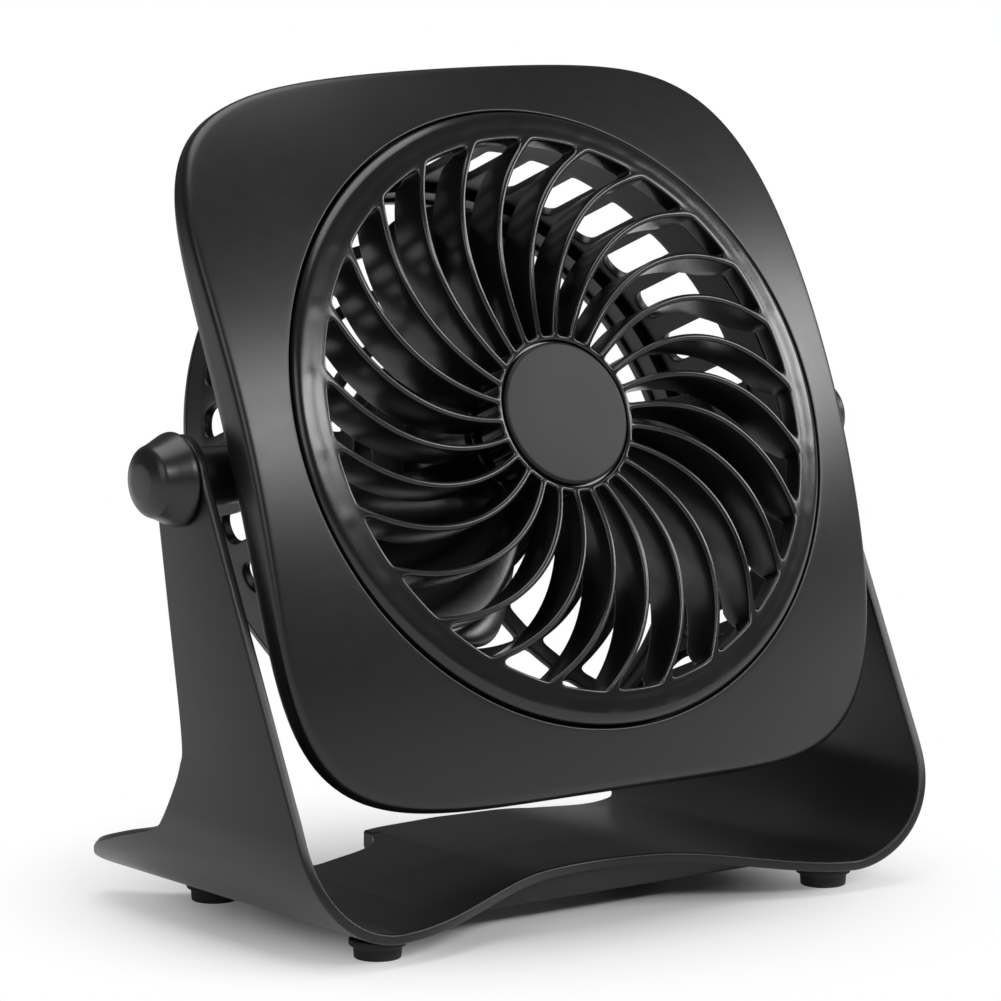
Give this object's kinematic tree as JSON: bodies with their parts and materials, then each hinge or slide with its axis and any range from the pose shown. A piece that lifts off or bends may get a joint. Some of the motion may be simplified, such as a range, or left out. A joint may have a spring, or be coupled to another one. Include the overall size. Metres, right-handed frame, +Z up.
{
  "type": "desk fan",
  "caption": "Small desk fan: a square head with a swirl grille tilts between the arms of a bent sheet stand, held by two side knobs.",
  "frame": {"origin": "centre of the footprint at floor level, under the four rubber feet", "axes": "+Z up, the fan faces and blows towards -Y, +X from the left arm to the right arm as seen from the front"},
  "size_m": [0.1612, 0.086, 0.1553],
  "materials": {
    "body_satin": "satin black",
    "wheel_gloss": "gloss black",
    "foot_rubber": "matte black",
    "steel": "zinc plated",
    "brass": "machined",
    "nylon": "black nylon",
    "magnet": "sintered ferrite",
    "board": "solder mask"
  },
  "bodies": {
    "stand": {"stand_bracket": "body_satin", "foot_front_left": "foot_rubber", "foot_front_right": "foot_rubber", "foot_rear_left": "foot_rubber", "foot_rear_right": "foot_rubber"},
    "head": {"friction_washer_left": "nylon", "friction_washer_right": "nylon", "pivot_insert_left": "brass", "pivot_insert_right": "brass", "front_bezel": "body_satin", "front_grille": "wheel_gloss", "hub_badge": "body_satin", "rear_cover": "body_satin", "rear_guard": "body_satin", "cover_screw_top_left": "steel", "cover_screw_top_right": "steel", "cover_screw_bottom_left": "steel", "cover_screw_bottom_right": "steel", "motor_can": "steel", "bush_front": "brass", "motor_end_cap": "nylon", "bush_rear": "brass", "magnet_left": "magnet", "magnet_right": "magnet", "circuit_board": "board", "button_switch": "steel", "power_inlet": "steel", "rear_cap": "body_satin", "cap_screw_left": "steel", "cap_screw_right": "steel", "motor_screw_left": "steel", "motor_screw_right": "steel"},
    "rotor": {"blade_wheel": "wheel_gloss", "motor_shaft": "steel", "armature_core": "steel", "commutator": "brass"},
    "button": {"power_button": "body_satin"},
    "knob_left": {"tilt_knob_left": "body_satin", "pivot_bolt_left": "steel"},
    "knob_right": {"tilt_knob_right": "body_satin", "pivot_bolt_right": "steel"}
  },
  "joints": [
    {"name": "head_tilt", "type": "hinge", "parent": "stand", "child": "head", "pos_m": [0, -0.001, 0.0847], "axis": [1, 0, 0], "continuous": true},
    {"name": "blade_spin", "type": "hinge", "parent": "head", "child": "rotor", "pos_m": [0, 0.00867, 0.0814], "axis": [0, 0.9295, -0.3689], "continuous": true},
    {"name": "power_button_press", "type": "slide", "parent": "head", "child": "button", "axis": [0, -0.9295, 0.3689], "range_m": [0, 0.0005], "stiffness_N_per_m": 1200, "springref_m": -0.0004},
    {"name": "knob_left_turn", "type": "hinge", "parent": "head", "child": "knob_left", "pos_m": [-0.076, -0.001, 0.0847], "axis": [-1, 0, 0], "range_deg": [0, 180]},
    {"name": "knob_right_turn", "type": "hinge", "parent": "head", "child": "knob_right", "pos_m": [0.076, -0.001, 0.0847], "axis": [1, 0, 0], "range_deg": [0, 180]}
  ]
}
